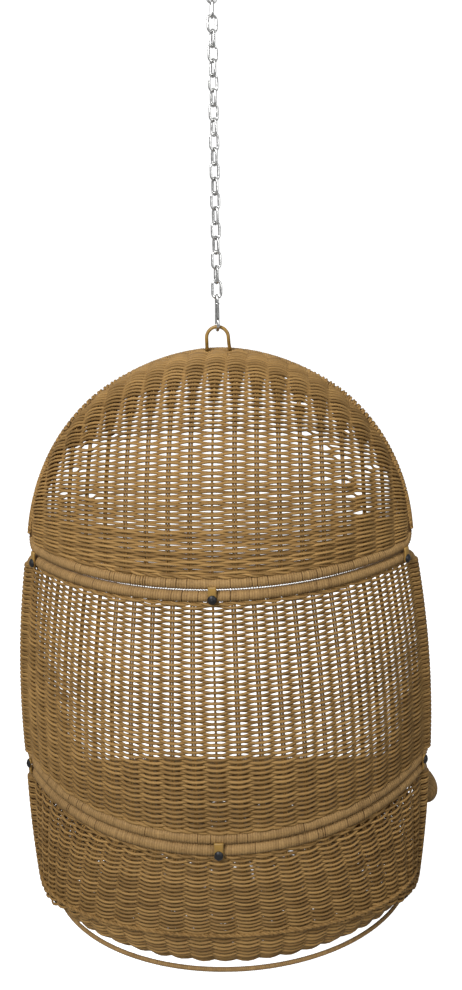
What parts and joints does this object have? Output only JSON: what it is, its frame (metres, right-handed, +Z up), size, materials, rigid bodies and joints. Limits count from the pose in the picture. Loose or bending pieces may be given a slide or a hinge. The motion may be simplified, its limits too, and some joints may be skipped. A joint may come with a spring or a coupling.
{
  "type": "hanging egg chair",
  "caption": "Woven hanging egg chair: bolted hood, back and seat bowl on wrapped tube frames, hung by a link chain with snap hooks from a ceiling plate.",
  "frame": {"origin": "middle of the ceiling plate's top face, which meets the ceiling", "axes": "+Z up, the seat opens towards -Y, +X towards the seated person's left"},
  "size_m": [0.87, 0.5133, 2.0042],
  "materials": {
    "strand": "satin",
    "wrapped_tube": "satin",
    "tan_paint": "satin",
    "zinc": "satin",
    "black_bolt": "matte"
  },
  "bodies": {
    "ceiling": {"ceiling_plate": "zinc", "ceiling_screw_1": "zinc", "ceiling_screw_2": "zinc", "ceiling_screw_3": "zinc", "ceiling_screw_4": "zinc"},
    "upper_hook": {"upper_hook_body": "zinc", "upper_hook_pin": "zinc"},
    "upper_gate": {"upper_hook_gate": "zinc"},
    "link_01": {"chain_link_01": "zinc"},
    "link_02": {"chain_link_02": "zinc"},
    "link_03": {"chain_link_03": "zinc"},
    "link_04": {"chain_link_04": "zinc"},
    "link_05": {"chain_link_05": "zinc"},
    "link_06": {"chain_link_06": "zinc"},
    "link_07": {"chain_link_07": "zinc"},
    "link_08": {"chain_link_08": "zinc"},
    "link_09": {"chain_link_09": "zinc"},
    "link_10": {"chain_link_10": "zinc"},
    "link_11": {"chain_link_11": "zinc"},
    "link_12": {"chain_link_12": "zinc"},
    "link_13": {"chain_link_13": "zinc"},
    "link_14": {"chain_link_14": "zinc"},
    "link_15": {"chain_link_15": "zinc"},
    "link_16": {"chain_link_16": "zinc"},
    "link_17": {"chain_link_17": "zinc"},
    "link_18": {"chain_link_18": "zinc"},
    "link_19": {"chain_link_19": "zinc"},
    "link_20": {"chain_link_20": "zinc"},
    "link_21": {"chain_link_21": "zinc"},
    "lower_hook": {"lower_hook_body": "zinc", "lower_hook_pin": "zinc"},
    "lower_gate": {"lower_hook_gate": "zinc"},
    "chair": {"hang_loop": "tan_paint", "hood_frame": "wrapped_tube", "hood_weave": "strand", "middle_frame": "wrapped_tube", "middle_weave": "strand", "bottom_frame": "wrapped_tube", "bottom_weave": "strand", "front_lip": "wrapped_tube", "base_hoop": "wrapped_tube", "bolt_upper_left": "black_bolt", "nut_upper_left": "black_bolt", "bolt_upper_centre": "black_bolt", "nut_upper_centre": "black_bolt", "bolt_upper_right": "black_bolt", "nut_upper_right": "black_bolt", "bolt_lower_left": "black_bolt", "nut_lower_left": "black_bolt", "bolt_lower_centre": "black_bolt", "nut_lower_centre": "black_bolt", "bolt_lower_right": "black_bolt", "nut_lower_right": "black_bolt"}
  },
  "joints": [
    {"name": "upper_hook_swing", "type": "hinge", "parent": "ceiling", "child": "upper_hook", "pos_m": [0, 0, -0.03], "axis": [1, 0, 0], "range_deg": [-15, 15]},
    {"name": "upper_gate_hinge", "type": "hinge", "parent": "upper_hook", "child": "upper_gate", "pos_m": [0, 0.0088, -0.0394], "axis": [-1, 0, 0], "range_deg": [0, 22], "stiffness_Nm_per_rad": 0.05, "springref_deg": -5.73},
    {"name": "link_01_swing", "type": "hinge", "parent": "upper_hook", "child": "link_01", "pos_m": [0, 0, -0.0922], "axis": [0, 1, 0], "range_deg": [-7, 7]},
    {"name": "link_02_swing", "type": "hinge", "parent": "link_01", "child": "link_02", "pos_m": [0, 0, -0.1207], "axis": [1, 0, 0], "range_deg": [-7, 7]},
    {"name": "link_03_swing", "type": "hinge", "parent": "link_02", "child": "link_03", "pos_m": [0, 0, -0.1497], "axis": [0, 1, 0], "range_deg": [-7, 7]},
    {"name": "link_04_swing", "type": "hinge", "parent": "link_03", "child": "link_04", "pos_m": [0, 0, -0.1787], "axis": [1, 0, 0], "range_deg": [-7, 7]},
    {"name": "link_05_swing", "type": "hinge", "parent": "link_04", "child": "link_05", "pos_m": [0, 0, -0.2077], "axis": [0, 1, 0], "range_deg": [-7, 7]},
    {"name": "link_06_swing", "type": "hinge", "parent": "link_05", "child": "link_06", "pos_m": [0, 0, -0.2367], "axis": [1, 0, 0], "range_deg": [-7, 7]},
    {"name": "link_07_swing", "type": "hinge", "parent": "link_06", "child": "link_07", "pos_m": [0, 0, -0.2657], "axis": [0, 1, 0], "range_deg": [-7, 7]},
    {"name": "link_08_swing", "type": "hinge", "parent": "link_07", "child": "link_08", "pos_m": [0, 0, -0.2947], "axis": [1, 0, 0], "range_deg": [-7, 7]},
    {"name": "link_09_swing", "type": "hinge", "parent": "link_08", "child": "link_09", "pos_m": [0, 0, -0.3237], "axis": [0, 1, 0], "range_deg": [-7, 7]},
    {"name": "link_10_swing", "type": "hinge", "parent": "link_09", "child": "link_10", "pos_m": [0, 0, -0.3527], "axis": [1, 0, 0], "range_deg": [-7, 7]},
    {"name": "link_11_swing", "type": "hinge", "parent": "link_10", "child": "link_11", "pos_m": [0, 0, -0.3817], "axis": [0, 1, 0], "range_deg": [-7, 7]},
    {"name": "link_12_swing", "type": "hinge", "parent": "link_11", "child": "link_12", "pos_m": [0, 0, -0.4107], "axis": [1, 0, 0], "range_deg": [-7, 7]},
    {"name": "link_13_swing", "type": "hinge", "parent": "link_12", "child": "link_13", "pos_m": [0, 0, -0.4397], "axis": [0, 1, 0], "range_deg": [-7, 7]},
    {"name": "link_14_swing", "type": "hinge", "parent": "link_13", "child": "link_14", "pos_m": [0, 0, -0.4687], "axis": [1, 0, 0], "range_deg": [-7, 7]},
    {"name": "link_15_swing", "type": "hinge", "parent": "link_14", "child": "link_15", "pos_m": [0, 0, -0.4977], "axis": [0, 1, 0], "range_deg": [-7, 7]},
    {"name": "link_16_swing", "type": "hinge", "parent": "link_15", "child": "link_16", "pos_m": [0, 0, -0.5267], "axis": [1, 0, 0], "range_deg": [-7, 7]},
    {"name": "link_17_swing", "type": "hinge", "parent": "link_16", "child": "link_17", "pos_m": [0, 0, -0.5557], "axis": [0, 1, 0], "range_deg": [-7, 7]},
    {"name": "link_18_swing", "type": "hinge", "parent": "link_17", "child": "link_18", "pos_m": [0, 0, -0.5847], "axis": [1, 0, 0], "range_deg": [-7, 7]},
    {"name": "link_19_swing", "type": "hinge", "parent": "link_18", "child": "link_19", "pos_m": [0, 0, -0.6137], "axis": [0, 1, 0], "range_deg": [-7, 7]},
    {"name": "link_20_swing", "type": "hinge", "parent": "link_19", "child": "link_20", "pos_m": [0, 0, -0.6427], "axis": [1, 0, 0], "range_deg": [-7, 7]},
    {"name": "link_21_swing", "type": "hinge", "parent": "link_20", "child": "link_21", "pos_m": [0, 0, -0.6717], "axis": [0, 1, 0], "range_deg": [-7, 7]},
    {"name": "lower_hook_swing", "type": "hinge", "parent": "link_21", "child": "lower_hook", "pos_m": [0, 0, -0.7007], "axis": [1, 0, 0], "range_deg": [-12, 12]},
    {"name": "lower_gate_hinge", "type": "hinge", "parent": "lower_hook", "child": "lower_gate", "pos_m": [-0.0021, 0.0085, -0.7111], "axis": [-0.9703, -0.2419, 0], "range_deg": [0, 22], "stiffness_Nm_per_rad": 0.05, "springref_deg": -5.73},
    {"name": "chair_swing", "type": "hinge", "parent": "lower_hook", "child": "chair", "pos_m": [0, 0, -0.7639], "axis": [-0.2419, 0.9703, 0], "range_deg": [-15, 15]}
  ]
}
